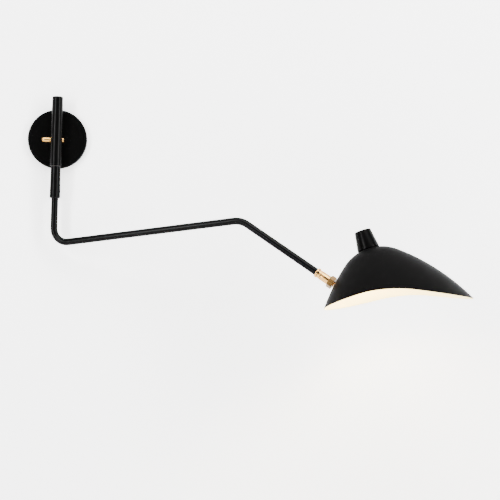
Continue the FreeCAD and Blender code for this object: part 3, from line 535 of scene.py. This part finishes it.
# %% [markdown]
# ## Cap
# The cap is a deep-drawn cone. Its lip is rolled and its underside is cut back to sit on the dome.

# %% Cap


def on_dome(radius):
    """Height of the dome's skin at a radius: the crown's circle by Pythagoras, plus a fine gap."""
    return math.sqrt(CROWN ** 2 - radius ** 2) - CROWN + 0.05


cap_outline = rounded([
    (16.4, -8.0), (17.5, -8.0), (17.5, on_dome(17.5)), (19.2, on_dome(19.2)),
    (21.0, -1.1, 0.3), (21.0, -0.1, 0.4), (15.25, 35.2, 1.0), (3.7, 35.2), (2.1, 33.7), (13.9, 33.7),
    (17.8, 2.0), (16.4, 0.0)], 8)
cap = spun("cap_skin", cap_outline, SHADE, 160)
fit(cap, "shade", "cap_paint", "lamp_cap")

# %% [markdown]
# ## Globe
# The bulb's globe is a thin hollow ball, open at the top where its collar holds it.

# %% Globe
GLOBE_OUTSIDE, GLOBE_INSIDE, GLOBE_OPENING, GLOBE_LEVEL = 22.5, 21.7, 9.4, -36.5


def globe_arc(radius, angle):
    """Radius and height of points on a circle about the globe's centre, by the angle from its top."""
    return np.stack([radius * np.sin(angle), GLOBE_LEVEL + radius * np.cos(angle)], -1)


turn_down = np.linspace(math.asin(GLOBE_OPENING / GLOBE_OUTSIDE), math.pi - 0.002, 60)
globe_skins = [globe_arc(GLOBE_OUTSIDE, turn_down), globe_arc(GLOBE_INSIDE, turn_down[::-1])]
globe_outline = np.concatenate(globe_skins)
globe = spun("globe_skin", globe_outline, SHADE, 96)
fit(globe, "shade", "opal_globe", "bulb_globe")

# %% [markdown]
# ## Room
# The lamp hangs on a pale wall. The wall lets light and sight through from behind, so that the
# plate's back can be looked at. A pale floor lies below it. Both also give off some light of their
# own, which keeps them pale without lamps so strong that they would grey the black paint.

# %% Wall and floor


def stage_sheet(name, corners, colour, glow, roughness=0.85):
    """A flat matt sheet with a fine grain and a glow, which is clear from behind."""
    mesh = bpy.data.meshes.new(name)
    mesh.from_pydata(corners, [], [(0, 1, 2, 3)])
    thing = bpy.data.objects.new(name, mesh)
    bpy.context.collection.objects.link(thing)
    material, nodes, links, shader = new_material(name, colour, roughness)
    place = nodes.new("ShaderNodeTexCoord")
    add_grain(nodes, links, shader, place.outputs["Object"], 260, 0.00006, 0.05, roughness)
    shader.inputs["Emission Color"].default_value = (1.0, 0.995, 1.0, 1)
    shader.inputs["Emission Strength"].default_value = glow
    clear = nodes.new("ShaderNodeBsdfTransparent")
    face = nodes.new("ShaderNodeNewGeometry")
    mix = nodes.new("ShaderNodeMixShader")
    links.new(face.outputs["Backfacing"], mix.inputs["Fac"])
    links.new(shader.outputs["BSDF"], mix.inputs[1])
    links.new(clear.outputs["BSDF"], mix.inputs[2])
    links.new(mix.outputs["Shader"], nodes["Material Output"].inputs["Surface"])
    mesh.materials.append(material)


LEFT, RIGHT, FRONT, TOP = -3, 4, -4.5, 2.2
BEHIND_PLATE, FLOOR_LEVEL = 0.0006, -0.85
wall_foot = [(LEFT, BEHIND_PLATE, FLOOR_LEVEL), (RIGHT, BEHIND_PLATE, FLOOR_LEVEL)]
stage_sheet("wall", wall_foot + [(RIGHT, BEHIND_PLATE, TOP), (LEFT, BEHIND_PLATE, TOP)],
            (0.86, 0.86, 0.86), 1.0)
stage_sheet("floor", [(LEFT, FRONT, FLOOR_LEVEL), (RIGHT, FRONT, FLOOR_LEVEL)] + wall_foot[::-1],
            (0.80, 0.80, 0.80), 0.6)
print("wall", BEHIND_PLATE, "m behind the plate, floor at", FLOOR_LEVEL, "m")

# %% [markdown]
# ## Light
# Two tall soft boxes stand left and right of the lamp, and a wide one hangs over it. The tall ones
# draw the long soft bands on the post and the arm; the wide one lays the shade's shadow downwards.

# %% Lamps and sky


def facing(right, up, away, place):
    """A matrix whose columns are a thing's right, its up, the way behind it, and its place."""
    columns = np.eye(4)
    columns[:3] = np.stack([right, up, away, place], axis=1)
    return Matrix(columns.tolist())


def soft_box(name, place, aim, width, height, power):
    """A rectangular lamp that looks from its place to its aim, with its long side upright."""
    light = bpy.data.lights.new(name, "AREA")
    light.shape = "RECTANGLE"
    light.size, light.size_y = width, height
    light.energy = power
    thing = bpy.data.objects.new(name, light)
    bpy.context.collection.objects.link(thing)
    away = np.array(place, float) - np.array(aim, float)
    away /= np.linalg.norm(away)
    side = np.cross((0, 0, 1.0), away)
    side /= np.linalg.norm(side)
    thing.matrix_world = facing(side, np.cross(away, side), away, place)


soft_box("left box", (-1.5, -1.9, 0.3), (0.1, 0, -0.1), 0.4, 1.8, 118)
soft_box("right box", (2.0, -1.5, 0.4), (0.2, 0, -0.1), 0.4, 1.8, 120)
soft_box("top box", (0.4, -1.3, 1.9), (0.3, 0, -0.2), 2.2, 1.4, 165)

world = bpy.data.worlds.new("room light")
world.use_nodes = True
world.node_tree.nodes["Background"].inputs["Color"].default_value = (1.0, 1.0, 1.0, 1)
world.node_tree.nodes["Background"].inputs["Strength"].default_value = 0.12
bpy.context.scene.world = world

# %% [markdown]
# ## Camera
# A long lens stands about two and a half metres out, a little below the arm, and leans slightly.

# %% Camera
YAW, PITCH, LEANING = 0.0547, 0.0119, 0.0274
CAMERA_PLACE, LENS = (0.2646, -2.4725, -0.2442), 86.4
ahead = np.array([math.sin(YAW) * math.cos(PITCH), math.cos(YAW) * math.cos(PITCH), math.sin(PITCH)])
level = np.array([math.cos(YAW), -math.sin(YAW), 0.0])
over = np.cross(level, ahead)
right = math.cos(LEANING) * level + math.sin(LEANING) * over
up = -math.sin(LEANING) * level + math.cos(LEANING) * over
camera = bpy.data.objects.new("camera", bpy.data.cameras.new("camera"))
camera.data.sensor_width = 36
camera.data.lens = LENS
camera.matrix_world = facing(right, up, -ahead, CAMERA_PLACE)
bpy.context.collection.objects.link(camera)
bpy.context.scene.camera = camera
print("camera at", CAMERA_PLACE, "lens", LENS)
